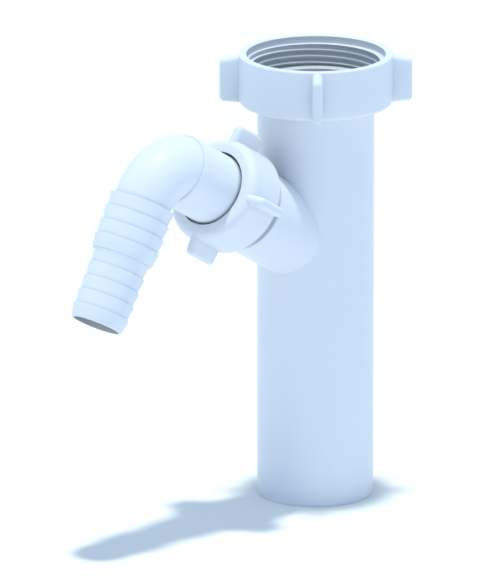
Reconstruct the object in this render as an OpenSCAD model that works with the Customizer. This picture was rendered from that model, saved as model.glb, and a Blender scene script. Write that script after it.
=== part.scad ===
// Washing machine waste branch: a straight waste tube with a winged union nut on its
// inlet and an angled spout, on which a second winged nut clamps a barbed hose elbow.
// The origin is the centre of the tail's lower end, +Z runs up the tube and the spout
// leans towards -X. All sizes are in millimetres.

/* [Waste tube] */
// Outside diameter of the plain tail
tube_od = 42; // [38:0.5:43]
// Wall of the waste tube
tube_wall = 2.7; // [2:0.1:3.5]
// Length of the tube from its lower end to the underside of the inlet nut
tube_length = 145.5; // [140:0.1:200]
// Rounding of the tail's lower edge
tail_round = 0.3; // [0.2:0.1:1]
// Thickness of the flange that the inlet nut pulls on
flange_thick = 2.6; // [1.5:0.1:4]
// Width of that flange outside the tube
flange_width = 1.12; // [0.8:0.02:3]

/* [Inlet nut] */
// Pitch of the coupling thread
thread_pitch = 2.309; // [2:0.001:3]
// Depth of the coupling thread
thread_depth = 1.48; // [1:0.01:1.6]
// Height of the thread's flat crest
thread_land = 0.3; // [0.1:0.05:0.5]
// Angle from a wing to the lower end of the thread
thread_start_turn = 98; // [0:1:359]
// Wall outside the thread of the inlet nut
inlet_nut_wall = 3.85; // [2.5:0.05:6]
// Length of the threaded part of the inlet nut above the washer
inlet_thread_len = 7.7; // [6:0.1:16]
// Depth of the plain recess above the thread
recess_depth = 2.6; // [1:0.1:5]
// Extra radius of the recess over the thread
recess_step = 1.2; // [0.3:0.05:1.5]
// Thickness of the lip that holds each union nut on its flange
lip_thick = 2.6; // [1.5:0.1:4]
// Thickness of the inlet washer
inlet_washer_thick = 2.7; // [1:0.1:4]

/* [Spout] */
// Distance from the inlet nut's underside down to where the spout's axis crosses the tube's
branch_drop = 53.5; // [50:0.1:80]
// Angle of the spout above the horizontal
branch_angle = 31; // [20:1:38]
// Outside diameter of the plain spout
spout_od = 31.5; // [30:0.5:34]
// Length of the plain spout outside the tube, along its axis
spout_length = 16; // [12:0.1:30]
// Bore of the spout
spout_bore = 23; // [18:0.5:24]
// Depth of the groove between the plain spout and its thread
spout_step = 1.2; // [0.8:0.1:1.6]
// Length of that groove
spout_groove_len = 6.4; // [5.8:0.1:8]
// Length of the thread that the branch nut screws on
spout_thread_len = 8.5; // [6:0.1:14]

/* [Branch nut] */
// Length of the branch nut
branch_nut_len = 15.8; // [13:0.1:22]
// Wall outside the thread of the branch nut
branch_nut_wall = 3.35; // [2.5:0.05:6]
// Rounding of the branch nut's front rim
front_round = 3; // [1:0.1:4]
// Thickness of the branch washer
branch_washer_thick = 1.6; // [1:0.1:3]
// Turn of the branch nut about its axis
branch_nut_turn = 0; // [0:1:90]

/* [Wings] */
// Width of each wing
wing_width = 3.7; // [2:0.1:6]
// Height of a wing over the inlet nut
inlet_wing_height = 6.95; // [3:0.05:10]
// Height of a wing over the branch nut
branch_wing_height = 5.7; // [3:0.1:8]
// Distance from the inlet nut's top to the top of its wings
inlet_wing_top = 1.1; // [0.2:0.1:2]
// Distance from the inlet nut's underside to its wings
inlet_wing_bottom = 0.1; // [0.1:0.1:2]
// Distance from the branch nut's back to its wings
branch_wing_back = 0.9; // [0.2:0.1:3]
// Distance from the branch nut's face to its wings
branch_wing_front = 0.3; // [0.2:0.1:3]
// Wings on each nut
wing_count = 4; // [2:1:8]
// Turn of the inlet nut about its axis
inlet_nut_turn = 46; // [0:1:90]

/* [Hose nozzle] */
// Outside diameter of the collar that passes through the branch nut
collar_od = 25.8; // [22:0.1:27]
// Length of the collar from the branch nut's face to the bend
collar_length = 19.4; // [14:0.1:30]
// Wall of the collar
collar_wall = 2; // [1.5:0.1:3]
// Angle through which the elbow turns
bend_angle = 90; // [60:1:100]
// Radius of the elbow's centreline
bend_radius = 10.5; // [9.5:0.1:30]
// Step from the collar to the start of the elbow
elbow_step = 0.6; // [0.2:0.1:1.5]
// Outside diameter of the elbow at its lower end
elbow_end_d = 20.6; // [19:0.1:22]
// Straight part between the elbow and the first barb
elbow_lead = 6; // [1:0.1:10]
// Turn of the nozzle about the spout's axis
nozzle_turn = 1.3; // [-180:0.1:180]

/* [Hose barbs] */
// Largest diameter of the four upper barbs
barb_d_large = 23.8; // [22:0.1:26]
// Largest diameter of the four lower barbs
barb_d_small = 20.8; // [19.6:0.1:21.5]
// Taper of each barb, on the diameter
barb_drop = 1.5; // [0.5:0.1:2.5]
// Distance from one barb to the next
barb_pitch = 5.25; // [4:0.05:7]
// Barbs of each size
barb_count = 4; // [2:1:6]
// Bore of the hose tail
tail_bore = 17; // [12:0.1:17.4]

/* [Hidden] */
$fn = 96;

// Overlap that lets a cut run past a face, or joins two solids
eps = 0.01;
join = 0.6;
// Clearances: inlet nut's lip round the tube, branch nut's lip round the collar, flanges and
// washers inside a nut, branch nut on the spout's thread, nut's lip on its flange
lip_clear = 0.3;
collar_clear = 1;
thread_clear = 0.3;
screw_clear = 0.1;
seat_gap = 0.1;

// Roundings of the moulded edges, the taper of a wing's ends, the rounding of its edges as a
// share of its width, and the depth of its foot inside the nut's wall
inlet_low_round = 1.8;
inlet_top_round = 0.5;
recess_round = 0.25;
front_inner_round = 1.2;
small_round = 0.4;
wing_corner = 1.5;
wing_draft = 0.8;
wing_edge = 0.42;
wing_foot = 2.5;

// Waste tube and inlet nut, from the tail upwards; the thread's root is half of its 47.8 mm
tube_r = tube_od / 2;
bore_r = tube_r - tube_wall;
flange_r = tube_r + flange_width;
inlet_crest_r = flange_r + thread_clear;
inlet_root_r = inlet_crest_r + thread_depth;
inlet_recess_r = inlet_root_r + recess_step;
inlet_nut_r = inlet_root_r + inlet_nut_wall;
inlet_lip_r = tube_r + lip_clear;
flange_z = tube_length + lip_thick + seat_gap;
tube_top = flange_z + flange_thick;
inlet_washer_top = tube_top + inlet_washer_thick;
recess_z = inlet_washer_top + inlet_thread_len;
inlet_nut_top = recess_z + recess_depth;
inlet_nut_height = inlet_nut_top - tube_length;

// Height of the spout's axis on the tube's, then spout, branch nut and nozzle as distances
// along the spout's axis
branch_height = tube_length - branch_drop;
spout_r = spout_od / 2;
spout_neck_r = spout_r - spout_step;
shoulder = tube_r / cos(branch_angle) + spout_length;
spout_thread_start = shoulder + spout_groove_len;
spout_end = spout_thread_start + spout_thread_len;
nozzle_seat = spout_end + branch_washer_thick;
nozzle_flange_thick = 2.2;
branch_lip = nozzle_seat + nozzle_flange_thick + seat_gap;
branch_face = branch_lip + lip_thick;
branch_back = branch_face - branch_nut_len;
collar_r = collar_od / 2;
branch_lip_r = collar_r + collar_clear;
branch_thread_r = spout_r + screw_clear;
branch_nut_r = branch_thread_r + branch_nut_wall;
nozzle_flange_r = branch_thread_r - thread_clear;
crease = branch_face + collar_length;

// Hose tail, and the bore that narrows from the collar over a short cone and follows the
// elbow; the tail's wall and bore each meet the elbow's with a hair's step, and the elbow's
// bore ends a fraction of a degree early, inside the tail's
core_step = 0.05;
tail_r = tail_bore / 2;
elbow_bore_r = tail_r + core_step;
tail_start_r = elbow_end_d / 2 + 2 * core_step;
tail_lap = 0.3;
bore_end = 0.5;
collar_bore_r = collar_r - collar_wall;
bore_cone = 4;
bore_lap = 0.5;
barb_core_r = barb_d_small / 2 - barb_drop / 2;

// Part of a plane to take away round a corner at [x, y], to round it with radius r; quarter
// 0 is the lower left corner of the profile, and the others follow anticlockwise.
module round_off(x, y, r, quarter) {
  translate([x, y])
    rotate(90 * quarter)
      difference() {
        translate([-eps, -eps])
          square(r + eps);
        translate([r, r])
          circle(r);
      }
}

// Places its children on the spout's axis, with their Z along it, at a distance from the
// tube's axis.
module on_spout(distance) {
  translate([0, 0, branch_height])
    rotate([0, branch_angle - 90, 0])
      translate([0, 0, distance])
        children();
}

// Rectangle from [x1, y1] to [x2, y2] with rounded corners.
module round_box(x1, y1, x2, y2, r) {
  difference() {
    translate([x1, y1])
      square([x2 - x1, y2 - y1]);
    round_off(x1, y1, r, 0);
    round_off(x2, y1, r, 1);
    round_off(x2, y2, r, 2);
    round_off(x1, y2, r, 3);
  }
}

// Wings round a nut: flat grips from the nut's wall out to tip_r, from z1 to z2 at the wall
// and a little shorter at the tip, with rounded edges.
module wings(wall_r, tip_r, z1, z2) {
  root = wall_r - wing_foot;
  for (i = [0 : wing_count - 1])
    rotate(360 / wing_count * i)
      intersection() {
        rotate([90, 0, 0])
          linear_extrude(wing_width, center = true)
            difference() {
              polygon([[root, z1], [tip_r, z1 + wing_draft], [tip_r, z2 - wing_draft], [root, z2]]);
              round_off(tip_r, z1 + wing_draft, wing_corner, 1);
              round_off(tip_r, z2 - wing_draft, wing_corner, 2);
            }
        translate([0, 0, z1])
          linear_extrude(z2 - z1)
            round_box(0, -wing_width / 2, tip_r, wing_width / 2, wing_width * wing_edge);
        rotate([90, 0, 90])
          linear_extrude(tip_r)
            round_box(-wing_width / 2, z1, wing_width / 2, z2, wing_width * wing_edge);
      }
}

// Waste tube with its flange, the angled spout and the bores of both, in one moulding.
module waste_body() {
  color("aliceblue")
    difference() {
      union() {
        rotate_extrude()
          difference() {
            union() {
              square([tube_r, tube_top]);
              translate([0, flange_z])
                square([flange_r, flange_thick]);
            }
            round_off(tube_r, 0, tail_round, 1);
            round_off(flange_r, tube_top, small_round, 2);
          }
        on_spout(0)
          rotate_extrude()
            difference() {
              union() {
                square([spout_r, shoulder]);
                square([spout_neck_r, spout_end]);
                translate([0, spout_thread_start])
                  square([spout_r, spout_thread_len]);
              }
              round_off(spout_r, shoulder, small_round, 2);
              round_off(spout_r, spout_end, small_round, 2);
            }
      }
      translate([0, 0, -eps])
        cylinder(r = bore_r, h = tube_top + 2 * eps);
      on_spout(0)
        cylinder(d = spout_bore, h = spout_end + eps);
    }
}

// Right-hand ridge of the coupling thread, with its flat flank uppermost: one section for each
// step round the nut, from inside the wall to the crest. It starts beside the flange and runs
// out through the recess floor.
thread_steps = 36;
ridge_foot_r = inlet_root_r + join;
ridge_foot = thread_pitch - thread_land / 2;
ridge_count = ceil((recess_z + ridge_foot - tube_top) / thread_pitch * thread_steps);
function ridge_section(step) =
  let (
    a = 360 / thread_steps * step,
    z = tube_top + thread_pitch / thread_steps * step
  ) [for (p = [[ridge_foot_r, 0], [inlet_crest_r, 0], [inlet_crest_r, thread_land],
               [ridge_foot_r, ridge_foot]])
      [p[0] * cos(a), p[0] * sin(a), z - p[1]]];
module thread_ridge() {
  points = [for (s = [0 : ridge_count]) each ridge_section(s)];
  sides = [for (s = [0 : ridge_count - 1])
    for (i = [0 : 3])
      let (
        j = (i + 1) % 4,
        a = s * 4,
        b = a + 4
      ) each [[a + i, b + j, b + i], [a + i, a + j, b + j]]];
  last = ridge_count * 4;
  rotate(thread_start_turn)
    polyhedron(points, concat(sides, [[3, 2, 1, 0], [last, last + 1, last + 2, last + 3]]));
}

// Union nut on the inlet: it turns on the tube, under the flange.
module inlet_nut() {
  color("aliceblue")
    rotate(inlet_nut_turn)
      difference() {
        union() {
          rotate_extrude()
            difference() {
              translate([inlet_lip_r, tube_length])
                square([inlet_nut_r - inlet_lip_r, inlet_nut_height]);
              translate([0, tube_length + lip_thick])
                square([inlet_root_r, inlet_nut_height]);
              round_off(inlet_nut_r, tube_length, inlet_low_round, 1);
              round_off(inlet_nut_r, inlet_nut_top, inlet_top_round, 2);
            }
          wings(inlet_nut_r, inlet_nut_r + inlet_wing_height, tube_length + inlet_wing_bottom,
            inlet_nut_top - inlet_wing_top);
          thread_ridge();
        }
        rotate_extrude()
          difference() {
            translate([0, recess_z])
              square([inlet_recess_r + recess_round, recess_depth + eps]);
            difference() {
              translate([inlet_recess_r, recess_z - eps])
                square([recess_round + eps, recess_depth + eps]);
              round_off(inlet_recess_r, inlet_nut_top, recess_round, 3);
            }
          }
      }
}

// Sealing ring on the flange.
module inlet_washer() {
  color("white")
    translate([0, 0, tube_top])
      difference() {
        cylinder(r = flange_r, h = inlet_washer_thick);
        translate([0, 0, -eps])
          cylinder(r = bore_r, h = inlet_washer_thick + 2 * eps);
      }
}

// Union nut on the spout, which clamps the nozzle's flange and its washer.
module branch_nut() {
  color("aliceblue")
    on_spout(0)
      rotate(branch_nut_turn) {
        rotate_extrude()
          difference() {
            translate([branch_lip_r, branch_back])
              square([branch_nut_r - branch_lip_r, branch_nut_len]);
            translate([0, branch_back - eps])
              square([branch_thread_r, branch_lip - branch_back + eps]);
            round_off(branch_nut_r, branch_back, small_round, 1);
            round_off(branch_nut_r, branch_face, front_round, 2);
            round_off(branch_lip_r, branch_face, front_inner_round, 3);
          }
        wings(branch_nut_r, branch_nut_r + branch_wing_height, branch_back + branch_wing_back,
          branch_face - branch_wing_front);
      }
}

// Sealing ring between the spout's end and the nozzle's flange.
module branch_washer() {
  color("dimgray")
    on_spout(spout_end)
      difference() {
        cylinder(r = nozzle_flange_r, h = branch_washer_thick);
        translate([0, 0, -eps])
          cylinder(d = spout_bore, h = branch_washer_thick + 2 * eps);
      }
}

// Half profile of the barbed tail: y runs from the elbow's end to the mouth, and each barb
// has its shoulder towards the elbow.
function barb(y, r, length) = [[r, y], [r - barb_drop / 2, y + length]];
function barb_row(y, r, count) = [for (i = [0 : count - 1]) each barb(y + barb_pitch * i, r, barb_pitch)];
upper_barbs = elbow_lead;
lower_barbs = upper_barbs + barb_pitch * (barb_count + 1);
tail_length = lower_barbs + barb_pitch * barb_count;
tail_profile = concat(
  [[0, -tail_lap], [tail_start_r, -tail_lap], [tail_start_r, upper_barbs]],
  barb_row(upper_barbs, barb_d_large / 2, barb_count),
  [[barb_core_r, lower_barbs - barb_pitch], [barb_core_r, lower_barbs]],
  barb_row(lower_barbs, barb_d_small / 2, barb_count),
  [[0, tail_length]]);

// Tapered bend: rings of points round an arc of the elbow's centreline, which turns towards
// the local -X, with radius r1 at its start and r2 at its end. The inner side is held off
// the arc's axis.
ring_points = 48;
ring_steps = 14;
bend_inner = 0.4;
function bend_ring(angle, r) = [for (i = [0 : ring_points - 1])
  let (
    a = 360 / ring_points * i,
    out = max(bend_radius + r * cos(a), bend_inner)
  ) [out * cos(angle) - bend_radius, r * sin(a), out * sin(angle)]];
module bend(r1, r2) {
  points = [for (s = [0 : ring_steps])
    each bend_ring(bend_angle * s / ring_steps, r1 + (r2 - r1) * s / ring_steps)];
  sides = [for (s = [0 : ring_steps - 1])
    for (i = [0 : ring_points - 1])
      let (
        j = (i + 1) % ring_points,
        a = s * ring_points,
        b = a + ring_points
      ) each [[a + i, b + i, b + j], [a + i, b + j, a + j]]];
  start = [[for (i = [0 : ring_points - 1]) i]];
  end = [[for (i = [0 : ring_points - 1]) ring_steps * ring_points + ring_points - 1 - i]];
  polyhedron(points, concat(sides, start, end));
}

// Places its children at the end of the elbow's centreline, with their Z along the tail.
module after_bend() {
  translate([-bend_radius, 0, 0])
    rotate([0, -bend_angle, 0])
      translate([bend_radius, 0, 0])
        children();
}

// Hose nozzle: clamped flange, collar, tapered elbow and barbed tail, with one bore.
module hose_nozzle() {
  color("aliceblue")
    on_spout(0)
      rotate(nozzle_turn) {
        difference() {
          union() {
            rotate_extrude()
              difference() {
                union() {
                  translate([0, nozzle_seat])
                    square([nozzle_flange_r, nozzle_flange_thick]);
                  translate([0, nozzle_seat])
                    square([collar_r, crease - nozzle_seat]);
                }
                round_off(collar_r, crease, small_round, 2);
              }
            translate([0, 0, crease]) {
              bend(collar_r - elbow_step, elbow_end_d / 2);
              after_bend()
                rotate_extrude()
                  polygon(tail_profile);
            }
          }
          rotate_extrude()
            polygon([
              [0, nozzle_seat - eps],
              [collar_bore_r, nozzle_seat - eps],
              [collar_bore_r, crease - bore_cone],
              [elbow_bore_r, crease],
              [0, crease]
            ]);
          translate([-bend_radius, 0, crease])
            rotate([90, 0, 0])
              rotate_extrude(angle = bend_angle - bore_end)
                translate([bend_radius, 0])
                  circle(elbow_bore_r);
          translate([0, 0, crease])
            after_bend()
              translate([0, 0, -bore_lap])
                cylinder(r = tail_r, h = tail_length + 2 * bore_lap);
        }
      }
}

waste_body();
inlet_nut();
inlet_washer();
branch_nut();
branch_washer();
hose_nozzle();
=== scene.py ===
"""Dressed model of a washing machine waste branch.

A waste tube with an angled spout carries a winged coupling nut on its inlet and, under a second
winged nut, a barbed hose elbow. Every mesh is a surface of two parameters worked out with numpy,
in millimetres, and goes into Blender in metres. Heights are above the tail's lower end; distances
along the spout are from the tube's axis.
"""
import logging
import math
from dataclasses import dataclass, field, replace
from enum import Enum
from typing import Optional, Sequence

import bmesh
import bpy
import numpy as np
from mathutils import Matrix, Vector


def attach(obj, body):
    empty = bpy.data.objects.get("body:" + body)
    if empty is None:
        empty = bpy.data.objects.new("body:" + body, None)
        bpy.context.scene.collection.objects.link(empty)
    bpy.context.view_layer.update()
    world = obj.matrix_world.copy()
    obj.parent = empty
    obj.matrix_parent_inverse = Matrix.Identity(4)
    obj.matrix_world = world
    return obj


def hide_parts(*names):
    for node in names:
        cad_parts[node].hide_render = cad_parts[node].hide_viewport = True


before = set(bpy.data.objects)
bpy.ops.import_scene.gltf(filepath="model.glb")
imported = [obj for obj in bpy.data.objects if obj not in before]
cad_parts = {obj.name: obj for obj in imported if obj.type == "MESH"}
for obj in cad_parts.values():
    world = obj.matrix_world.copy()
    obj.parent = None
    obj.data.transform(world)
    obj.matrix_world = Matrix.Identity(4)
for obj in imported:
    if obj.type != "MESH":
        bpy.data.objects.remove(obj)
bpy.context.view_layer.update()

LOG = logging.getLogger("waste_branch")
MM = 0.001


class Slot(Enum):
    """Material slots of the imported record."""

    PLASTIC = "white_plastic"
    SEAL = "white_seal"
    RUBBER = "dark_rubber"


class Body(Enum):
    """Bodies that pieces ride on."""

    TUBE = "tube"
    INLET_NUT = "inlet_nut"
    BRANCH_NUT = "branch_nut"
    NOZZLE = "nozzle"


# Profiles and surfaces


def rounded_loop(corners: Sequence[tuple[float, float, float]], steps: int = 7) -> np.ndarray:
    """Closed profile whose corners are true circular arcs.

    Each corner is a rational quadratic curve between its two tangent points, with the corner as
    its middle control point and the sine of half the corner's angle as that point's weight.

    Args:
        corners: Corner positions x, y and the radius of each.
        steps: Points on each arc.

    Returns:
        Points of the loop, shape (corners * steps, 2).
    """
    data = np.asarray(corners, dtype=float)
    point = data[:, :2]
    before = np.roll(point, 1, axis=0) - point
    after = np.roll(point, -1, axis=0) - point
    before /= np.linalg.norm(before, axis=1, keepdims=True)
    after /= np.linalg.norm(after, axis=1, keepdims=True)
    half = 0.5 * np.arccos(np.clip(np.sum(before * after, axis=1), -1.0, 1.0))
    reach = (data[:, 2] / np.tan(half))[:, None]
    start, end = point + before * reach, point + after * reach
    weight = np.sin(half)[:, None, None]
    s = np.linspace(0.0, 1.0, steps)[None, :, None]
    first, middle, last = (1 - s) ** 2, 2 * s * (1 - s) * weight, s ** 2
    arc = first * start[:, None] + middle * point[:, None] + last * end[:, None]
    return (arc / (first + middle + last)).reshape(-1, 2)


def finer(profile: np.ndarray, low: float, high: float, step: float) -> np.ndarray:
    """Closed profile with points added where its first value lies between low and high.

    Args:
        profile: Loop of points, shape (n, 2).
        low: Lowest first value of the stretch.
        high: Highest first value of the stretch.
        step: Longest segment left inside the stretch.

    Returns:
        The loop with its long segments there cut into equal parts.
    """
    nxt = np.roll(profile, -1, axis=0)
    middle = 0.5 * (profile[:, 0] + nxt[:, 0])
    inside = (middle > low) & (middle < high)
    length = np.linalg.norm(nxt - profile, axis=1)
    parts = np.where(inside, np.ceil(length / step), 1).astype(int)
    parts = np.maximum(parts, 1)
    index = np.repeat(np.arange(len(profile)), parts)
    order = np.arange(parts.sum()) - np.repeat(np.cumsum(parts) - parts, parts)
    share = (order / parts[index])[:, None]
    return profile[index] * (1 - share) + nxt[index] * share


def round_drop(d: np.ndarray, limit: float, radius: float) -> np.ndarray:
    """How far a rounded end has fallen away at each d: radius minus the circle's height there."""
    past = np.clip(d - (limit - radius), 0.0, radius)
    return radius - np.sqrt(np.maximum(radius ** 2 - past ** 2, 0.0))


@dataclass(frozen=True)
class Placement:
    """Local frame of a sub-assembly: a height on the tube's axis, a lean and a turn.

    Attributes:
        height: Where the frame's origin lies on the tube's axis.
        lean: Angle in degrees by which local Z leans from +Z towards -X.
        turn: Turn in degrees about local Z, made before the lean.
    """

    height: float = 0.0
    lean: float = 0.0
    turn: float = 0.0

    def to_world(self, points: np.ndarray) -> np.ndarray:
        """Turns local points about Z, leans them about Y and lifts them to the frame's height."""
        turn, lean = math.radians(self.turn), -math.radians(self.lean)
        spin = np.array([[math.cos(turn), -math.sin(turn), 0],
                         [math.sin(turn), math.cos(turn), 0], [0, 0, 1]])
        tilt = np.array([[math.cos(lean), 0, math.sin(lean)], [0, 1, 0],
                         [-math.sin(lean), 0, math.cos(lean)]])
        return points @ (tilt @ spin).T + np.array([0.0, 0.0, self.height])


@dataclass
class Skin:
    """Mesh gathered from grids of points, welded into closed shells that face outwards.

    Attributes:
        placement: Frame that the grids' points are given in.
    """

    placement: Placement = field(default_factory=Placement)
    points: list[np.ndarray] = field(default_factory=list)
    faces: list[np.ndarray] = field(default_factory=list)
    caps: list[list[int]] = field(default_factory=list)
    inside: list[np.ndarray] = field(default_factory=list)
    count: int = 0

    def add(self, grid: np.ndarray, wrap_rows: bool = False, wrap_columns: bool = True,
            capped: bool = False, keep: Optional[np.ndarray] = None,
            inner: Optional[np.ndarray] = None) -> None:
        """Adds one grid, with a face between each four neighbouring points.

        Args:
            grid: Points, shape (rows, columns, 3).
            wrap_rows: Whether the last row joins the first.
            wrap_columns: Whether the last column joins the first.
            capped: Whether a flat face closes the first and the last row.
            keep: Which faces are made, shape (face rows, face columns).
            inner: Which face rows, or which single faces, take the second finish, darker as painted
                shade.
        """
        rows, columns = grid.shape[:2]
        index = np.arange(rows * columns).reshape(rows, columns) + self.count
        if wrap_rows:
            index = np.concatenate([index, index[:1]], axis=0)
        if wrap_columns:
            index = np.concatenate([index, index[:, :1]], axis=1)
        quads = np.stack([index[:-1, :-1], index[:-1, 1:], index[1:, 1:], index[1:, :-1]], axis=-1)
        marked = np.zeros(quads.shape[:2], dtype=np.int32)
        if inner is not None:
            marked[inner] = 1
        kept = np.ones(quads.shape[:2], dtype=bool) if keep is None else keep
        quads = quads[kept]
        self.inside.append(marked[kept])
        self.points.append(grid.reshape(-1, 3))
        self.faces.append(quads)
        if capped:
            self.caps.append(index[0, :columns].tolist())
            self.caps.append(index[-1, :columns].tolist())
        self.count += rows * columns

    def build(self, name: str, sharp: float = 32.0) -> bpy.types.Object:
        """Makes the object: welds equal points, turns faces outwards and marks sharp edges.

        Args:
            name: Name of the piece.
            sharp: Angle in degrees over which an edge stays sharp.

        Returns:
            The new object, at the origin and in the scene.
        """
        points = self.placement.to_world(np.concatenate(self.points)) * MM
        mesh = bpy.data.meshes.new(name)
        mesh.from_pydata(points.tolist(), [], np.concatenate(self.faces).tolist() + self.caps)
        marks = np.concatenate([*self.inside, np.zeros(len(self.caps), dtype=np.int32)])
        mesh.polygons.foreach_set("material_index", marks)
        shape = bmesh.new()
        shape.from_mesh(mesh)
        bmesh.ops.remove_doubles(shape, verts=shape.verts[:], dist=2e-7)
        bmesh.ops.recalc_face_normals(shape, faces=shape.faces[:])
        shape.to_mesh(mesh)
        shape.free()
        mesh.shade_smooth()
        mesh.set_sharp_from_angle(angle=math.radians(sharp))
        piece = bpy.data.objects.new(name, mesh)
        bpy.context.scene.collection.objects.link(piece)
        return piece


def around(count: int, start: float = 0.0) -> np.ndarray:
    """Equal angles round a full turn, without the closing one."""
    return math.radians(start) + np.linspace(0.0, 2 * math.pi, count, endpoint=False)


def revolve(profile: np.ndarray, angles: np.ndarray) -> np.ndarray:
    """Surface of revolution: each profile point (r, z) goes to (r cos a, r sin a, z).

    Args:
        profile: Points (r, z), shape (n, 2).
        angles: Angles a in radians.

    Returns:
        Grid of shape (n, angles, 3).
    """
    radius, height = profile[:, :1], profile[:, 1:]
    return np.stack([radius * np.cos(angles), radius * np.sin(angles),
                     height + 0 * angles], axis=-1)


def winding(section: np.ndarray, angles: np.ndarray, pitch: float) -> np.ndarray:
    """Screw ridge: the section turns with the angle a and climbs by pitch a / 360 degrees.

    Args:
        section: Section points (r, z) for each angle, or one loop for all, last axis 2.
        angles: Angles a in radians, growing along the ridge.
        pitch: Climb in one turn.

    Returns:
        Grid of shape (angles, section points, 3).
    """
    turn = angles[:, None]
    radius, height = section[..., 0], section[..., 1]
    return np.stack([radius * np.cos(turn), radius * np.sin(turn),
                     height + pitch * turn / (2 * math.pi)], axis=-1)


# Finishes


def shader_group(name: str, inputs: dict[str, tuple[str, float]],
                 outputs: dict[str, str]) -> bpy.types.NodeTree:
    """Empty shader node group with named sockets.

    Args:
        name: Name of the group.
        inputs: Socket type and default of each input.
        outputs: Socket type of each output.

    Returns:
        The group, with one input node and one output node.
    """
    tree = bpy.data.node_groups.new(name, "ShaderNodeTree")
    for label, (kind, value) in inputs.items():
        socket = tree.interface.new_socket(label, in_out="INPUT", socket_type=kind)
        if kind == "NodeSocketFloat":
            socket.default_value = value
    for label, kind in outputs.items():
        tree.interface.new_socket(label, in_out="OUTPUT", socket_type=kind)
    tree.nodes.new("NodeGroupInput")
    tree.nodes.new("NodeGroupOutput")
    return tree


def joined(tree: bpy.types.NodeTree, kind: str, settings: dict[str, object],
           links: dict[object, bpy.types.NodeSocket]) -> bpy.types.Node:
    """Adds a node, sets its properties or sockets and joins its inputs.

    Args:
        tree: Node tree that gets the node.
        kind: Blender's name of the node.
        settings: Properties by name, or socket values by the socket's name or number.
        links: Sockets that feed the node's inputs, by name or number.

    Returns:
        The new node.
    """
    node = tree.nodes.new(kind)
    for key, value in settings.items():
        if isinstance(key, str) and hasattr(node, key):
            setattr(node, key, value)
        else:
            node.inputs[key].default_value = value
    for key, socket in links.items():
        tree.links.new(socket, node.inputs[key])
    return node


def mould_skin_group() -> bpy.types.NodeTree:
    """Skin that a steel mould leaves on plastic: fine grain, slow ripples and a cloudy mask.

    Returns:
        Group with inputs Vector, Grain and Ripple and outputs Height and Cloud.
    """
    tree = shader_group("mould_skin", {"Vector": ("NodeSocketVector", 0.0),
                                       "Grain": ("NodeSocketFloat", 0.5),
                                       "Ripple": ("NodeSocketFloat", 0.5)},
                        {"Height": "NodeSocketFloat", "Cloud": "NodeSocketFloat"})
    source, out = tree.nodes["Group Input"], tree.nodes["Group Output"]
    place = source.outputs["Vector"]
    grain = joined(tree, "ShaderNodeTexNoise", {"Scale": 2600.0, "Detail": 2.0}, {"Vector": place})
    ripple = joined(tree, "ShaderNodeTexNoise", {"Scale": 85.0, "Detail": 1.0}, {"Vector": place})
    cloud = joined(tree, "ShaderNodeTexNoise", {"Scale": 38.0, "Detail": 3.0, "Roughness": 0.55},
                   {"Vector": place})
    fine = joined(tree, "ShaderNodeMath", {"operation": "MULTIPLY"},
                  {0: grain.outputs["Fac"], 1: source.outputs["Grain"]})
    both = joined(tree, "ShaderNodeMath", {"operation": "MULTIPLY_ADD"},
                  {0: ripple.outputs["Fac"], 1: source.outputs["Ripple"], 2: fine.outputs[0]})
    mask = joined(tree, "ShaderNodeMapRange", {"interpolation_type": "SMOOTHSTEP", "From Min": 0.3,
                                               "From Max": 0.7}, {"Value": cloud.outputs["Fac"]})
    tree.links.new(both.outputs[0], out.inputs["Height"])
    tree.links.new(mask.outputs["Result"], out.inputs["Cloud"])
    return tree


def handling_group() -> bpy.types.NodeTree:
    """Faint rubs from handling: thin streaks and spots where the gloss is a little duller.

    Returns:
        Group with input Vector and output Rub, from 0 to 1.
    """
    tree = shader_group("handling_rub", {"Vector": ("NodeSocketVector", 0.0)},
                        {"Rub": "NodeSocketFloat"})
    source, out = tree.nodes["Group Input"], tree.nodes["Group Output"]
    place = source.outputs["Vector"]
    patch = joined(tree, "ShaderNodeTexNoise", {"Scale": 60.0, "Detail": 4.0, "Distortion": 0.6},
                   {"Vector": place})
    speck = joined(tree, "ShaderNodeTexVoronoi", {"Scale": 420.0}, {"Vector": place})
    wide = joined(tree, "ShaderNodeMapRange", {"From Min": 0.52, "From Max": 0.74},
                  {"Value": patch.outputs["Fac"]})
    dots = joined(tree, "ShaderNodeMapRange", {"From Min": 0.16, "From Max": 0.06},
                  {"Value": speck.outputs["Distance"]})
    rub = joined(tree, "ShaderNodeMath", {"operation": "MAXIMUM"},
                 {0: wide.outputs["Result"], 1: dots.outputs["Result"]})
    tree.links.new(rub.outputs[0], out.inputs["Rub"])
    return tree


def painted_shade_group() -> bpy.types.NodeTree:
    """Mask of corners, grooves and hollows, where less light reaches, for painting shade there.

    Returns:
        Group with inputs Reach, in metres, Open and Closed, the shares of open sky at which the
        mask starts and ends, and output Depth, from 0 in the open to 1 deep inside.
    """
    tree = shader_group("crevice_shade", {"Reach": ("NodeSocketFloat", 0.03),
                                    "Open": ("NodeSocketFloat", 0.75),
                                    "Closed": ("NodeSocketFloat", 0.2)},
                        {"Depth": "NodeSocketFloat"})
    source, out = tree.nodes["Group Input"], tree.nodes["Group Output"]
    around_it = joined(tree, "ShaderNodeAmbientOcclusion", {"samples": 8},
                       {"Distance": source.outputs["Reach"]})
    depth = joined(tree, "ShaderNodeMapRange", {},
                   {"Value": around_it.outputs["AO"], "From Min": source.outputs["Open"],
                    "From Max": source.outputs["Closed"]})
    tree.links.new(depth.outputs["Result"], out.inputs["Depth"])
    return tree


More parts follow.
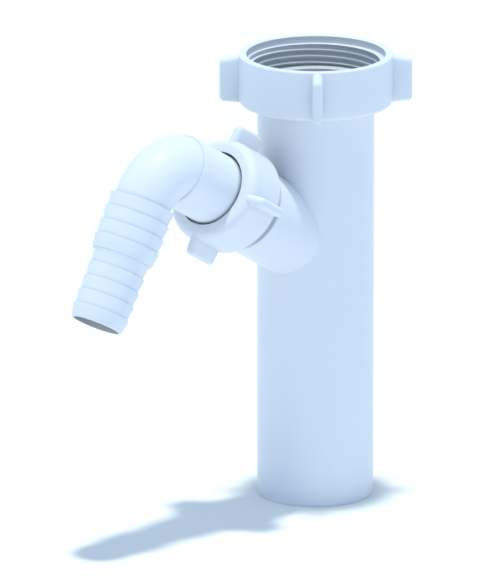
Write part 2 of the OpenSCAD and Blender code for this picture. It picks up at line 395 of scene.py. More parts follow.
@dataclass(frozen=True)
class Finish:
    """Plastic or rubber with a moulded skin.

    Attributes:
        name: Name of the material.
        colour: Body colour, linear.
        cloud_colour: Colour in the cloudy patches, linear.
        gloss: Roughness where the skin is clean.
        rubbed: Roughness where it has been rubbed.
        grain: Share of the fine grain in the bump.
        ripple: Share of the slow ripples in the bump.
        depth: Height of the bump in metres.
        stretch: Scale of the pattern along X, Y and Z.
        sheen_level: Strength of the mirror-like part of the gloss, where 0.5 is plain plastic.
        painted_shade: Share by which the colour is darkened deep in crevices, as painted shade.
        reach: How far off other surfaces darken a spot, in metres.
        open_at: Share of open sky at which the painted shade starts.
        closed_at: Share of open sky at which the painted shade is full.
    """

    name: str
    colour: tuple[float, float, float]
    cloud_colour: tuple[float, float, float]
    gloss: float
    rubbed: float
    grain: float
    ripple: float
    depth: float
    stretch: tuple[float, float, float] = (1.0, 1.0, 1.0)
    sheen_level: float = 0.5
    painted_shade: float = 0.12
    reach: float = 0.03
    open_at: float = 0.75
    closed_at: float = 0.2

    def painted_inside_finish(self, share: float) -> "Finish":
        """The same plastic, darker and a little warmer as painted shade on the inner walls, and
        duller.

        Args:
            share: Share of the colour that is left.

        Returns:
            The finish of the inner walls.
        """
        tones = [tuple(share * tone * tint for tone, tint in zip(colour, (1.0, 0.985, 0.965)))
                 for colour in (self.colour, self.cloud_colour)]
        return replace(self, name=f"{self.name}_core_{share:.2f}", colour=tones[0],
                       cloud_colour=tones[1],
                       gloss=self.rubbed, painted_shade=0.12)

    def material(self) -> bpy.types.Material:
        """Makes the material once and gives it again afterwards.

        Returns:
            Principled material driven by the shared groups.
        """
        made = bpy.data.materials.get(self.name)
        if made:
            return made
        made = bpy.data.materials.new(self.name)
        made.use_nodes = True
        tree = made.node_tree
        shader = tree.nodes["Principled BSDF"]
        shader.inputs["Specular IOR Level"].default_value = self.sheen_level
        place = joined(tree, "ShaderNodeTexCoord", {}, {})
        mapping = joined(tree, "ShaderNodeMapping", {"Scale": self.stretch},
                         {"Vector": place.outputs["Object"]})
        skin = joined(tree, "ShaderNodeGroup", {"node_tree": GROUPS["mould_skin"]}, {})
        rub = joined(tree, "ShaderNodeGroup", {"node_tree": GROUPS["handling_rub"]}, {})
        tree.links.new(mapping.outputs["Vector"], skin.inputs["Vector"])
        tree.links.new(mapping.outputs["Vector"], rub.inputs["Vector"])
        skin.inputs["Grain"].default_value = self.grain
        skin.inputs["Ripple"].default_value = self.ripple
        tint = joined(tree, "ShaderNodeMix", {"data_type": "RGBA"}, {})
        tint.inputs[6].default_value = (*self.colour, 1.0)
        tint.inputs[7].default_value = (*self.cloud_colour, 1.0)
        tree.links.new(skin.outputs["Cloud"], tint.inputs[0])
        # Painted shade: the occlusion mask darkens the colour in corners, grooves and hollows.
        crevice_shade = joined(tree, "ShaderNodeGroup", {"node_tree": GROUPS["crevice_shade"]}, {})
        for socket, value in (("Reach", self.reach), ("Open", self.open_at),
                              ("Closed", self.closed_at)):
            crevice_shade.inputs[socket].default_value = value
        keep = joined(tree, "ShaderNodeMapRange", {"To Min": 1.0, "To Max": 1.0 - self.painted_shade},
                      {"Value": crevice_shade.outputs["Depth"]})
        shaded = joined(tree, "ShaderNodeVectorMath", {"operation": "SCALE"},
                        {0: tint.outputs[2], "Scale": keep.outputs["Result"]})
        rough = joined(tree, "ShaderNodeMapRange", {"To Min": self.gloss, "To Max": self.rubbed},
                       {"Value": rub.outputs["Rub"]})
        bump = joined(tree, "ShaderNodeBump", {"Distance": self.depth},
                      {"Height": skin.outputs["Height"]})
        tree.links.new(shaded.outputs["Vector"], shader.inputs["Base Color"])
        tree.links.new(rough.outputs["Result"], shader.inputs["Roughness"])
        tree.links.new(bump.outputs["Normal"], shader.inputs["Normal"])
        return made


GROUPS = {"mould_skin": mould_skin_group(), "handling_rub": handling_group(),
          "crevice_shade": painted_shade_group()}

TUBE_PLASTIC = Finish("white_tube_plastic", (0.79, 0.795, 0.795), (0.775, 0.782, 0.785),
                      0.38, 0.46, 0.5, 0.5, 1.5e-5, (1.0, 1.0, 0.35), 0.35)
NUT_PLASTIC = Finish("white_nut_plastic", (0.79, 0.795, 0.795), (0.778, 0.784, 0.786),
                     0.42, 0.5, 0.6, 0.4, 1.5e-5, sheen_level=0.35)
# Painted light: a little paler than the other plastic, standing in for the gloss taken off by its low
# sheen level.
NOZZLE_PLASTIC = Finish("white_nozzle_plastic", (0.815, 0.82, 0.82), (0.802, 0.808, 0.81),
                        # Strong painted shade in the narrow notches between the barbs.
                        0.36, 0.44, 0.4, 0.6, 1.5e-5, sheen_level=0.15, painted_shade=0.3,
                        reach=0.0018, open_at=0.93, closed_at=0.4)
SEAL_PLASTIC = Finish("white_seal_plastic", (0.68, 0.68, 0.65), (0.65, 0.652, 0.63),
                      0.55, 0.65, 0.8, 0.3, 3e-5)
SEAL_RUBBER = Finish("dark_seal_rubber", (0.018, 0.018, 0.019), (0.03, 0.03, 0.031),
                     0.62, 0.75, 0.9, 0.4, 4e-5)


def dress(piece: bpy.types.Object, finish: Finish, slot: Slot, body: Body,
          *nodes: str, painted_inside_shade: float = 1.0) -> bpy.types.Object:
    """Gives a piece its finish and its body, and hides the CAD nodes that it stands for.

    Args:
        piece: The finished piece.
        finish: Finish of its surface.
        slot: Slot of the record that the finish belongs to; not used.
        body: Body that it moves with.
        *nodes: CAD nodes that it replaces.
        painted_inside_shade: Share of the colour left on the inner walls.

    Returns:
        The same piece.
    """
    piece.data.materials.append(finish.material())
    # Painted shade: inner walls take a darker, warmer copy of the finish.
    if painted_inside_shade < 1.0:
        piece.data.materials.append(finish.painted_inside_finish(painted_inside_shade).material())
    if nodes:
        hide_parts(*nodes)
    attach(piece, body.value)
    LOG.info("%s: %d faces on %s", piece.name, len(piece.data.polygons), body.value)
    return piece


# Sub-assemblies


@dataclass(frozen=True)
class Wing:
    """Flat grip on a nut, with rounded ends and an eased tip, rooted deep in the nut's wall.

    Attributes:
        wall: Radius of the nut's wall.
        height: How far it stands out.
        low: Lower end at the wall.
        high: Upper end at the wall.
        width: Width of the grip.
        draft_low: How much the lower end draws in from the wall to the tip.
        draft_high: How much the upper end draws in from the wall to the tip.
        end_round: Rounding of the outer corners, seen from the side.
        tip_round: Rounding of the long edges of the tip.
        side_round: Rounding of the ends across the width.
        buried: Depth of the foot inside the wall.
    """

    wall: float
    height: float
    low: float
    high: float
    width: float = 3.7
    draft_low: float = 0.6
    draft_high: float = 0.6
    end_round: float = 1.5
    tip_round: float = 1.5
    side_round: float = 1.85
    buried: float = 1.0

    def grid(self, angle: float) -> np.ndarray:
        """Rounded rectangles stacked outwards from inside the wall to the tip.

        At each distance out, the half width and the two ends are the plain sizes less the
        rounding's drop there, and the section is a rounded rectangle.

        Args:
            angle: Direction of the wing round the nut, in degrees.

        Returns:
            Grid of shape (distances, section points, 3).
        """
        tip = self.height - self.end_round * (1 - np.sin(np.linspace(0.0, math.pi / 2, 17)))
        out = np.concatenate([[-self.buried], tip])[:, None]
        half = self.width / 2 - round_drop(out, self.height, self.tip_round)
        drop = round_drop(out, self.height, self.end_round)
        share = out / self.height
        top = self.high - self.draft_high * share - drop
        bottom = self.low + self.draft_low * share + drop
        side = np.minimum(self.side_round, half - 0.02)
        corner = np.repeat(np.arange(4), 9)
        a = math.pi / 2 * (corner + np.tile(np.linspace(0.0, 1.0, 9), 4))
        sign_t = np.array([1.0, -1.0, -1.0, 1.0])[corner]
        sign_z = np.array([1.0, 1.0, -1.0, -1.0])[corner]
        across = sign_t * (half - side) + side * np.cos(a)
        middle, tall = (top + bottom) / 2, (top - bottom) / 2
        along = middle + sign_z * (tall - side) + side * np.sin(a)
        radius = self.wall + out
        turn = math.radians(angle)
        return np.stack([radius * math.cos(turn) - across * math.sin(turn),
                         radius * math.sin(turn) + across * math.cos(turn), along], axis=-1)


@dataclass(frozen=True)
class WasteTube:
    """Plain tube with the inlet flange and the angled spout, one moulding.

    The tube's walls are cylinders. Round the spout, a window of each wall is filled by a patch
    that runs from the window's edge to the curve in which the spout's wall meets the cylinder.
    """

    radius: float = 21.0
    bore: float = 18.3
    flange_radius: float = 22.12
    flange_low: float = 148.2
    top: float = 150.8
    tail_round: float = 0.3
    spout_height: float = 92.0
    spout_angle: float = 31.0
    spout_radius: float = 15.75
    spout_bore: float = 11.5
    neck_radius: float = 14.55
    shoulder: float = 40.499
    thread_start: float = 46.899
    spout_end: float = 55.399
    edge: float = 0.35
    thread_crest: float = 15.62
    thread_pitch: float = 2.309
    columns: int = 240
    window_columns: int = 96
    window_low: float = 76.0
    window_high: float = 134.0
    window_rows: int = 40
    patch_rows: int = 14

    def spout(self) -> Placement:
        """Frame whose Z runs along the spout."""
        return Placement(self.spout_height, 90.0 - self.spout_angle)

    def meeting(self, wall: float, pipe: float, a: np.ndarray) -> np.ndarray:
        """Distances along the spout at which a pipe's straight lines meet a cylinder.

        A line at the angle a lies at x0 = pipe sin(angle) cos a and y = pipe sin a, and meets
        the cylinder where x0 - s cos(angle) is minus the root of wall squared less y squared.

        Args:
            wall: Radius of the cylinder round the tube's axis.
            pipe: Radius of the pipe round the spout's axis.
            a: Angles round the spout's axis.

        Returns:
            Distance s of each line's meeting point.
        """
        lean = math.radians(self.spout_angle)
        reach = np.sqrt(wall ** 2 - (pipe * np.sin(a)) ** 2)
        return (reach + pipe * math.sin(lean) * np.cos(a)) / math.cos(lean)

    def hole(self, wall: float, pipe: float, a: np.ndarray) -> np.ndarray:
        """Curve in which a pipe meets a cylinder, as angle from -X and height.

        Args:
            wall: Radius of the cylinder.
            pipe: Radius of the pipe.
            a: Angles round the spout's axis.

        Returns:
            Points (angle, height), shape (n, 2).
        """
        s = self.meeting(wall, pipe, a)
        local = np.stack([pipe * np.cos(a), pipe * np.sin(a), s], axis=-1)
        world = self.spout().to_world(local)
        return np.stack([np.arctan2(world[:, 1], -world[:, 0]), world[:, 2]], axis=-1)

    def window(self) -> tuple[np.ndarray, np.ndarray, np.ndarray, np.ndarray]:
        """Angles and heights of the walls' rows, and the window's edge.

        Returns:
            Angles of all columns from -X, heights of the band's rows, which faces of the band
            are kept, and the window's edge as a loop of points (angle, height).
        """
        step = 2 * math.pi / self.columns
        angles = (np.arange(self.columns) - self.window_columns // 2) * step
        heights = np.linspace(self.window_low, self.window_high, self.window_rows + 1)
        keep = np.ones((self.window_rows, self.columns), dtype=bool)
        keep[:, :self.window_columns] = False
        across = angles[:self.window_columns + 1]
        lower = np.stack([across, np.full_like(across, heights[0])], axis=-1)
        upper = np.stack([across[::-1], np.full_like(across, heights[-1])], axis=-1)
        right = np.stack([np.full_like(heights, across[-1]), heights], axis=-1)
        left = np.stack([np.full_like(heights, across[0]), heights[::-1]], axis=-1)
        edge = np.concatenate([lower[:-1], right[:-1], upper[:-1], left[:-1]])
        return angles, heights, keep, edge

    def matched(self, edge: np.ndarray) -> np.ndarray:
        """Angle round the spout for each point of the window's edge, seen from the hole's middle.

        Args:
            edge: Window's edge as points (angle, height).

        Returns:
            Angles round the spout's axis, one for each point.
        """
        a = np.linspace(-math.pi, math.pi, 721)
        curve = self.hole(self.radius, self.spout_radius, a)
        centre = np.array([0.0, 0.5 * (curve[:, 1].min() + curve[:, 1].max())])
        scale = np.array([self.radius, 1.0])
        bearing = np.unwrap(np.arctan2(*((curve - centre) * scale).T[::-1]))
        wanted = np.arctan2(*((edge - centre) * scale).T[::-1])
        low, high = sorted((bearing[0], bearing[-1]))
        wanted = low + np.mod(wanted - low, 2 * math.pi)
        order = np.argsort(bearing)
        return np.interp(wanted, bearing[order], a[order])

    def wall(self, skin: Skin, radius: float, pipe: float, inner: bool = False) -> None:
        """Adds the band of one cylindrical wall with the patch round the spout's hole.

        The patch is a blend, in angle and height, of the window's edge and the hole's curve.

        Args:
            skin: Mesh that gets the faces.
            radius: Radius of the wall.
            pipe: Radius of the spout's wall that meets it.
            inner: Whether the wall is the bore.
        """
        angles, heights, keep, edge = self.window()
        band = np.stack(np.broadcast_arrays(angles[None, :], heights[:, None]), axis=-1)
        curve = self.hole(radius, pipe, self.matched(edge))
        share = np.linspace(0.0, 1.0, self.patch_rows + 1)[:, None, None] ** 0.8
        patch = edge * (1 - share) + curve * share
        for grid, kept in ((band, keep), (patch, None)):
            skin.add(self.on_cylinder(radius, grid), keep=kept,
                     inner=np.full(len(grid) - 1, inner))

    @staticmethod
    def on_cylinder(radius: float, points: np.ndarray) -> np.ndarray:
        """Lays points (angle from -X, height) on the cylinder of the given radius."""
        angle, height = points[..., 0], points[..., 1]
        return np.stack([-radius * np.cos(angle), radius * np.sin(angle), height], axis=-1)

    def tube_ends(self, skin: Skin) -> None:
        """Adds the plain tail under the window and the flange end over it.

        Args:
            skin: Mesh that gets the faces.
        """
        angles = self.window()[0]
        loop = rounded_loop([(self.radius, self.window_low, 0.0), (self.radius, 0.0, self.tail_round),
                             (self.bore, 0.0, self.tail_round), (self.bore, self.window_low, 0.0)])
        tail = loop[6:-6]
        loop = rounded_loop([(self.bore, self.window_high, 0.0), (self.bore, self.top, self.edge),
                             (self.flange_radius, self.top, self.edge),
                             (self.flange_radius, self.flange_low, self.edge),
                             (self.radius, self.flange_low, 0.15),
                             (self.radius, self.window_high, 0.0)])
        for profile in (tail, loop[6:-6]):
            grid = np.stack(np.broadcast_arrays(angles[None, :], profile[:, 1:]), axis=-1)
            inner = 0.5 * (profile[1:, 0] + profile[:-1, 0]) < self.bore + 0.05
            skin.add(self.on_cylinder(profile[:, :1], grid), inner=inner)

    def spout_shell(self, skin: Skin) -> None:
        """Adds the spout from the tube's outer wall round its end to the tube's bore.

        Each straight line of the spout starts at its own distance, where it meets the wall.

        Args:
            skin: Mesh that gets the faces, in the tube's frame.
        """
        a = self.matched(self.window()[3])
        loop = rounded_loop([(self.spout_radius, 0.0, 0.0), (self.spout_radius, self.shoulder, 0.4),
                             (self.neck_radius, self.shoulder, 0.3),
                             (self.neck_radius, self.thread_start, 0.3),
                             (self.spout_radius, self.thread_start, 0.3),
                             (self.spout_radius, self.spout_end, 0.4),
                             (self.spout_bore, self.spout_end, 0.3), (self.spout_bore, 0.0, 0.0)])
        profile = loop[6:-6]
        distance = np.repeat(profile[:, 1:], len(a), axis=1)
        distance[0] = self.meeting(self.radius, self.spout_radius, a)
        distance[-1] = self.meeting(self.bore, self.spout_bore, a)
        radius = profile[:, :1]
        local = np.stack([radius * np.cos(a), radius * np.sin(a), distance], axis=-1)
        middle = 0.5 * (profile[1:] + profile[:-1])
        inner = (middle[:, 0] < self.neck_radius + 0.4) & (middle[:, 1] < self.spout_end - 0.4)
        skin.add(self.spout().to_world(local), inner=inner)

    def spout_thread(self) -> bpy.types.Object:
        """Screw thread on the spout, which shows in the groove behind the branch nut.

        Returns:
            Ridge with tapered ends sunk in the neck.
        """
        skin = Skin(self.spout())
        foot, crest, half = self.neck_radius - 0.4, self.thread_crest, 0.8
        section = rounded_loop([(foot, -half, 0.0), (crest, -0.16, 0.09), (crest, 0.16, 0.09),
                                (foot, half, 0.0)], 4)
        first = (self.shoulder + 0.75) / self.thread_pitch * 2 * math.pi
        last = (self.thread_start - 0.1) / self.thread_pitch * 2 * math.pi
        angles = np.linspace(first, last, 260)
        fade = np.clip((angles - first) / 0.9, 0.02, 1.0)[:, None]
        shape = np.stack([foot + (section[:, 0] - foot) * fade,
                          section[:, 1] * fade ** 0.5], axis=-1)
        skin.add(winding(shape, angles, self.thread_pitch), capped=True)
        return skin.build("spout_thread")

    def make(self) -> None:
        """Builds and dresses the moulding and its thread."""
        skin = Skin()
        self.wall(skin, self.radius, self.spout_radius)
        self.wall(skin, self.bore, self.spout_bore, inner=True)
        self.tube_ends(skin)
        self.spout_shell(skin)
        # Painted shade: the bore takes a darker copy of the plastic.
        dress(skin.build("waste_tube"), TUBE_PLASTIC, Slot.PLASTIC, Body.TUBE, "waste_body",
              painted_inside_shade=0.72)
        dress(self.spout_thread(), TUBE_PLASTIC, Slot.PLASTIC, Body.TUBE)


@dataclass(frozen=True)
class InletNut:
    """Winged coupling nut on the inlet, with its internal screw thread."""

    low: float = 145.5
    top: float = 163.8
    radius: float = 27.75
    lip_radius: float = 21.3
    lip_top: float = 148.1
    root_radius: float = 24.3
    crest_radius: float = 22.42
    crest_taper: float = 0.18
    recess_radius: float = 25.0
    recess_floor: float = 161.2
    turn: float = 46.0
    thread_turn: float = 98.0
    thread_start: float = 150.8
    thread_pitch: float = 2.309
    thread_land: float = 0.3
    thread_steps: int = 120
    wing_height: float = 6.95
    wing_low: float = 145.8
    wing_high: float = 163.5
    wing_slope: float = 1.5

    def ring(self) -> np.ndarray:
        """Closed profile of the nut's ring, as points (radius, height)."""
        return rounded_loop([(self.lip_radius, self.low, 0.4), (self.radius, self.low, 1.8),
                             (self.radius, self.top, 0.5), (self.recess_radius, self.top, 0.25),
                             (self.recess_radius, self.recess_floor, 0.2),
                             (self.root_radius, self.recess_floor, 0.12),
                             (self.root_radius, self.lip_top, 0.3),
                             (self.lip_radius, self.lip_top, 0.3)], 8)

    def thread(self) -> np.ndarray:
        """Ridge with a flat upper flank and a slanted lower one, which runs out in the recess.

        Where the ridge would rise over the recess floor, its crest moves out along the slanted
        flank so that the cut face lies just under the floor.

        Returns:
            Grid of shape (angles, section points, 3).
        """
        buried = self.root_radius + 0.6
        slope = (buried - self.crest_radius) / (self.thread_pitch - self.thread_land / 2
                                                - self.thread_land)
        ceiling = self.recess_floor - 0.02
        run_out = (self.root_radius - self.crest_radius) / slope + self.thread_land
        turns = (ceiling + run_out - self.thread_start) / self.thread_pitch
        angles = np.linspace(0.0, 2 * math.pi * turns, int(self.thread_steps * turns))
        rise = self.thread_pitch * angles / (2 * math.pi) + self.thread_start
        over = np.maximum(rise - self.thread_land - ceiling, 0.0)
        crest = self.crest_radius + over * slope + self.crest_taper * (angles / (2 * math.pi) - 1)
        upper = np.minimum(rise, ceiling)
        lower = np.minimum(rise - self.thread_land, ceiling)
        foot = rise - (self.thread_pitch - self.thread_land / 2)
        soft = 0.07 * np.clip((upper - lower) / self.thread_land, 0.0, 1.0)
        radius = np.stack([np.full_like(crest, buried), crest + 2 * soft, crest + 0.6 * soft,
                           crest, crest, crest + 0.5 * soft, np.full_like(crest, buried)], axis=-1)
        height = np.stack([upper, upper, upper - 0.5 * soft, upper - 1.6 * soft,
                           lower + 0.6 * soft, lower - 0.3 * soft, foot], axis=-1)
        start = math.radians(self.thread_turn)
        turn = (angles + start)[:, None]
        return np.stack([radius * np.cos(turn), radius * np.sin(turn), height], axis=-1)

    def make(self) -> None:
        """Builds and dresses the nut."""
        skin = Skin(Placement(turn=self.turn))
        ring = self.ring()
        middle = 0.5 * (ring + np.roll(ring, -1, axis=0))
        inner = (middle[:, 0] < self.recess_radius + 0.1) & (middle[:, 1] > self.recess_floor + 0.1)
        inner |= np.abs(middle[:, 0] - self.root_radius) < 0.05
        skin.add(revolve(ring, around(256)), wrap_rows=True, inner=inner)
        thread = self.thread()
        under = np.zeros((len(thread) - 1, thread.shape[1]), dtype=bool)
        under[:, -2] = True
        skin.add(thread, capped=True, inner=under)
        wing = Wing(self.radius, self.wing_height, self.wing_low, self.wing_high,
                    draft_high=self.wing_slope)
        for angle in (0.0, 90.0, 180.0, 270.0):
            skin.add(wing.grid(angle), capped=True)
        # Painted shade: the recess walls and the thread's lower flanks take a darker copy of the
        # plastic.
        dress(skin.build("coupling_nut"), NUT_PLASTIC, Slot.PLASTIC, Body.INLET_NUT, "inlet_nut",
              painted_inside_shade=0.8)


@dataclass(frozen=True)
class Seal:
    """Flat sealing ring with eased edges."""

    name: str
    node: str
    inner: float
    outer: float
    low: float
    high: float
    edge: float
    placement: Placement
    finish: Finish
    slot: Slot

    def make(self) -> None:
        """Builds and dresses the ring."""
        skin = Skin(self.placement)
        profile = rounded_loop([(self.inner, self.low, self.edge), (self.outer, self.low, self.edge),
                                (self.outer, self.high, self.edge),
                                (self.inner, self.high, self.edge)], 6)
        skin.add(revolve(profile, around(192)), wrap_rows=True)
        dress(skin.build(self.name), self.finish, self.slot, Body.TUBE, self.node)


@dataclass(frozen=True)
class BranchNut:
    """Winged nut on the spout, with a rounded front rim and its internal screw thread."""

    back: float = 46.099
    face: float = 61.899
    lip: float = 59.299
    radius: float = 19.2
    thread_bore: float = 15.85
    lip_radius: float = 13.88
    front_round: float = 3.0
    wing_height: float = 5.7
    wing_back: float = 0.8
    wing_front: float = 0.45

    def ring(self) -> np.ndarray:
        """Closed profile of the nut's ring, as points (radius, distance)."""
        return rounded_loop([(self.lip_radius, self.lip, 0.3), (self.thread_bore, self.lip, 0.3),
                             (self.thread_bore, self.back, 0.4), (self.radius, self.back, 0.4),
                             (self.radius, self.face, self.front_round),
                             (self.lip_radius, self.face, 0.12)], 10)

    def make(self, placement: Placement) -> None:
        """Builds and dresses the nut.

        Args:
            placement: Frame whose Z runs along the spout.
        """
        skin = Skin(placement)
        ring = self.ring()
        inner = 0.5 * (ring + np.roll(ring, -1, axis=0))[:, 0] < self.thread_bore + 0.1
        inner &= np.minimum(ring[:, 1], np.roll(ring[:, 1], -1)) < self.face - 0.2
        skin.add(revolve(ring, around(224)), wrap_rows=True, inner=inner)
        wing = Wing(self.radius, self.wing_height, self.back + self.wing_back,
                    self.face - self.wing_front, buried=2.5)
        for angle in (0.0, 90.0, 180.0, 270.0):
            skin.add(wing.grid(angle), capped=True)
        # Painted shade: the nut's inside takes a much darker copy of the plastic.
        dress(skin.build("branch_union_nut"), NUT_PLASTIC, Slot.PLASTIC, Body.BRANCH_NUT,
              "branch_nut", painted_inside_shade=0.4)


@dataclass(frozen=True)
class HoseNozzle:
    """Clamped flange, collar, tapered elbow and barbed tail, one moulding with one bore."""

    seat: float = 56.999
    flange_top: float = 59.199
    flange_radius: float = 15.55
    collar_radius: float = 13.0
    collar_bore: float = 10.9
    crease: float = 82.0
    bend_angle: float = 90.0
    bend_rise: float = 10.25
    bend_reach: float = 16.8
    web: float = 1.4
    sag: float = 2.7
    elbow_start: float = 12.4
    elbow_end: float = 10.35
    tail_start: float = 10.4
    lead: float = 0.03
    barbs: tuple[tuple[float, float, int], ...] = ((12.1, 11.28, 4), (10.47, 9.72, 5))
    barb_pitch: float = 5.2
    barb_lip: float = 0.05
    mouth_radius: float = 9.38
    mouth_round: float = 0.45
    bore: float = 8.5
    bore_cone: float = 4.0
    columns: int = 168

    @property
    def bend_length(self) -> float:
        """Length of the elbow's centreline."""
        return math.radians(self.bend_angle) * 0.5 * (self.bend_rise + self.bend_reach)

    def profile(self) -> np.ndarray:
        """Closed profile of the wall, as points (distance along the centreline, radius)."""
        bend_end = self.crease + self.bend_length
        corners = [(self.seat, self.collar_bore, 0.2), (self.seat, self.flange_radius, 0.3),
                   (self.flange_top, self.flange_radius, 0.3),
                   (self.flange_top, self.collar_radius, 0.2),
                   (self.crease, self.collar_radius, 0.25), (self.crease, self.elbow_start, 0.0),
                   (bend_end - 0.001, self.elbow_end, 0.0), (bend_end, self.tail_start, 0.0)]
        start = bend_end + self.lead
        corners.append((start, self.tail_start, 0.1))
        for large, small, count in self.barbs:
            for _ in range(count):
                corners.append((start, large, self.barb_lip))
                start += self.barb_pitch
                corners.append((start, small, self.barb_lip))
        mouth = start
        corners[-1] = (mouth, self.mouth_radius, self.mouth_round)
        corners += [(mouth, self.bore, 0.25), (bend_end, self.bore, 0.0),
                    (self.crease, self.bore, 0.0),
                    (self.crease - self.bore_cone, self.collar_bore, 0.0)]
        return finer(rounded_loop(corners, 5), self.crease, bend_end, 0.3)

    def sweep(self, profile: np.ndarray) -> np.ndarray:
        """Carries the profile along the straight collar, round the bend and down the tail.

        Past the crease, the centreline is a quarter of an ellipse: at the share phi of the bend
        it lies at x = -A (1 - cos phi) and z = B sin phi, and the section lies square to it. The
        section also sags towards the inner corner by a share of sin phi times cos phi squared.
        Where the section would dip under the web's height, the point stays over the collar and
        climbs to the tail's wall, which closes the inner corner. Past the bend all points move
        straight on.

        Args:
            profile: Points (s, r) of the wall.

        Returns:
            Grid of shape (profile points, columns, 3) in the spout's frame.
        """
        s, r = profile[:, :1], profile[:, 1:]
        a = around(self.columns)
        end = self.crease + self.bend_length
        past = np.clip(s - self.crease, 0.0, self.bend_length)
        phi = past / self.bend_length * math.radians(self.bend_angle)
        after = np.maximum(s - end, 0.0)
        rise, reach = self.bend_rise, self.bend_reach
        square = np.hypot(rise * np.cos(phi), reach * np.sin(phi))
        side = r * np.cos(a) - self.sag * np.sin(phi) * np.cos(phi) ** 2
        height = rise + side * reach / square
        x = -reach * (1 - np.cos(phi)) + side * rise * np.cos(phi) / square - after
        z = height * np.sin(phi)
        bent = (s >= self.crease - 1e-6) & (s < end - 1e-5)
        web = np.where(bent, np.clip((self.web - height) / self.web, 0.0, 1.0), 0.0)
        climb = 1 - (1 - past / self.bend_length) ** 3
        wall = np.maximum(rise + self.elbow_end * np.cos(a), 0.0) * climb
        outer = r > self.bore + 0.1
        x = x + np.where(outer, web, 0.0) * (np.minimum(x, side) - x)
        z = z + web * (wall - z)
        return np.stack([x, np.broadcast_to(r * np.sin(a), x.shape),
                         np.minimum(s, self.crease) + z], axis=-1)

    def make(self, placement: Placement) -> bpy.types.Object:
        """Builds and dresses the nozzle.

        Args:
            placement: Frame whose Z runs along the spout, turned with the nozzle.

        Returns:
            The finished piece.
        """
        skin = Skin(placement)
        profile = self.profile()
        radius = 0.5 * (profile[:, 1] + np.roll(profile[:, 1], -1))
        inner = (radius < self.bore + 0.05) & (profile[:, 0] > self.crease)
        inner |= (profile[:, 0] < self.flange_top + 0.1) & (radius > self.collar_radius + 0.1)
        skin.add(self.sweep(profile), wrap_rows=True, inner=inner)
        # Painted shade: the bore and the flange's hidden faces take a darker copy of the plastic.
        return dress(skin.build("hose_elbow", 24.0), NOZZLE_PLASTIC, Slot.PLASTIC, Body.NOZZLE,
                     "hose_nozzle", painted_inside_shade=0.46)


# Studio


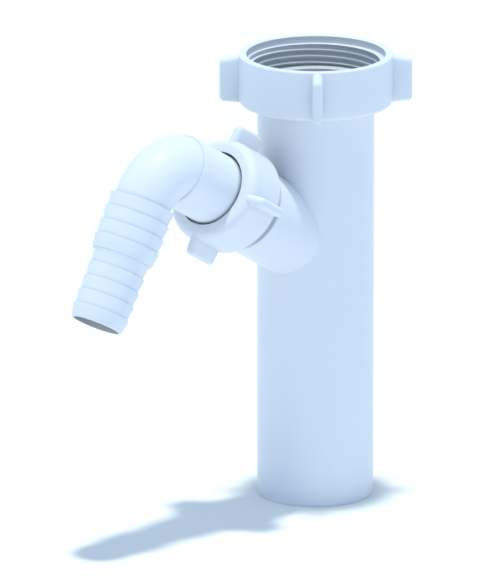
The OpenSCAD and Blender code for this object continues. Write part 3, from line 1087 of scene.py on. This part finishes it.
@dataclass(frozen=True)
class Studio:
    """Pale floor, overhead lamps, even sky and the camera of the photograph."""

    floor_size: float = 6.0
    floor_bounce: tuple[float, float, float] = (0.88, 0.88, 0.88)
    floor_shown: tuple[float, float, float] = (0.9, 0.86, 0.775)
    sky: tuple[float, float, float] = (0.495, 0.675, 0.954)
    lamp_energy: float = 2.05
    lamp_colour: tuple[float, float, float] = (0.94, 1.0, 1.0)
    lamp_width: float = 4.0
    elevation: float = 15.735
    azimuth: float = -44.81
    distance: float = 4.6
    aim: tuple[float, float, float] = (0.0, 0.0, 0.085)
    slide: tuple[float, float] = (-0.025107, -0.00914)
    lens: float = 791.2

    def floor(self) -> None:
        """Plane under the object; the camera sees its colour a little warmer than it bounces."""
        half = self.floor_size / 2
        mesh = bpy.data.meshes.new("floor")
        mesh.from_pydata([(-half, -half, 0), (half, -half, 0), (half, half, 0), (-half, half, 0)],
                         [], [(0, 1, 2, 3)])
        plane = bpy.data.objects.new("floor", mesh)
        bpy.context.scene.collection.objects.link(plane)
        material = bpy.data.materials.new("studio_floor")
        material.use_nodes = True
        tree = material.node_tree
        shader = tree.nodes["Principled BSDF"]
        shader.inputs["Roughness"].default_value = 0.9
        shader.inputs["Specular IOR Level"].default_value = 0.0
        path = joined(tree, "ShaderNodeLightPath", {}, {})
        seen = joined(tree, "ShaderNodeMath", {"operation": "MAXIMUM"},
                      {0: path.outputs["Is Camera Ray"], 1: path.outputs["Is Glossy Ray"]})
        mix = joined(tree, "ShaderNodeMix", {"data_type": "RGBA"}, {0: seen.outputs[0]})
        mix.inputs[6].default_value = (*self.floor_bounce, 1.0)
        mix.inputs[7].default_value = (*self.floor_shown, 1.0)
        tree.links.new(mix.outputs[2], shader.inputs["Base Color"])
        mesh.materials.append(material)

    def lamp(self, name: str) -> bpy.types.Object:
        """Lamp straight overhead.

        Args:
            name: Name of the lamp.

        Returns:
            The lamp's object.
        """
        lamp = bpy.data.lights.new(name, "SUN")
        lamp.energy, lamp.color = self.lamp_energy, self.lamp_colour
        lamp.angle = math.radians(self.lamp_width)
        holder = bpy.data.objects.new(name, lamp)
        holder.location = (0.0, 0.0, 1.0)
        bpy.context.scene.collection.objects.link(holder)
        return holder

    def lights(self, barbed: bpy.types.Object) -> None:
        """Even sky and two like lamps, of which the second lights the barbed piece alone.

        The second lamp's light passes through the barbed piece itself, so that the low steps of
        the barbs cast no shadows on one another.

        Args:
            barbed: The piece with the barbs.
        """
        world = bpy.data.worlds.new("studio")
        world.use_nodes = True
        world.node_tree.nodes["Background"].inputs["Color"].default_value = (*self.sky, 1.0)
        bpy.context.scene.world = world
        for name, lit, shading in (("overhead", "EXCLUDE", "INCLUDE"),
                                   ("overhead_barbs", "INCLUDE", "EXCLUDE")):
            holder = self.lamp(name)
            for role, state in (("receiver", lit), ("blocker", shading)):
                if state == "INCLUDE" and role == "blocker":
                    continue
                group = bpy.data.collections.new(name + "_" + role)
                group.objects.link(barbed)
                group.collection_objects[0].light_linking.link_state = state
                setattr(holder.light_linking, role + "_collection", group)

    def camera(self) -> None:
        """Camera on the photograph's line of sight, slid sideways and down to its framing."""
        lift, swing = math.radians(self.elevation), math.radians(self.azimuth)
        back = Vector((math.sin(swing) * math.cos(lift), -math.cos(swing) * math.cos(lift),
                       math.sin(lift))).normalized()
        right = Vector((0.0, 0.0, 1.0)).cross(back).normalized()
        up = back.cross(right)
        target = Vector(self.aim) + right * self.slide[0] + up * self.slide[1]
        lens = bpy.data.cameras.new("photo_view")
        lens.lens, lens.sensor_width, lens.sensor_fit = self.lens, 36.0, "AUTO"
        lens.clip_end = 50.0
        camera = bpy.data.objects.new("photo_view", lens)
        place = Matrix((right, up, back)).transposed().to_4x4()
        place.translation = target + back * self.distance
        camera.matrix_world = place
        bpy.context.scene.collection.objects.link(camera)
        bpy.context.scene.camera = camera

    def make(self, barbed: bpy.types.Object) -> None:
        """Sets the stage.

        Args:
            barbed: The piece with the barbs, which has a lamp of its own.
        """
        self.floor()
        self.lights(barbed)
        self.camera()
        bpy.context.scene.view_settings.view_transform = "Standard"


def main() -> None:
    """Builds the object and its stage, in order from the tube outwards."""
    logging.basicConfig(level=logging.INFO, format="%(name)s: %(message)s")
    tube = WasteTube()
    tube.make()
    along = tube.spout()
    InletNut().make()
    Seal("inlet_seal", "inlet_washer", 18.3, 22.12, 150.8, 153.5, 0.3, Placement(),
         SEAL_PLASTIC, Slot.SEAL).make()
    BranchNut().make(along)
    Seal("branch_seal", "branch_washer", 11.5, 15.55, 55.399, 56.999, 0.2, along,
         SEAL_RUBBER, Slot.RUBBER).make()
    elbow = HoseNozzle().make(Placement(along.height, along.lean, 1.3))
    Studio().make(elbow)


if __name__ == "__main__":
    main()
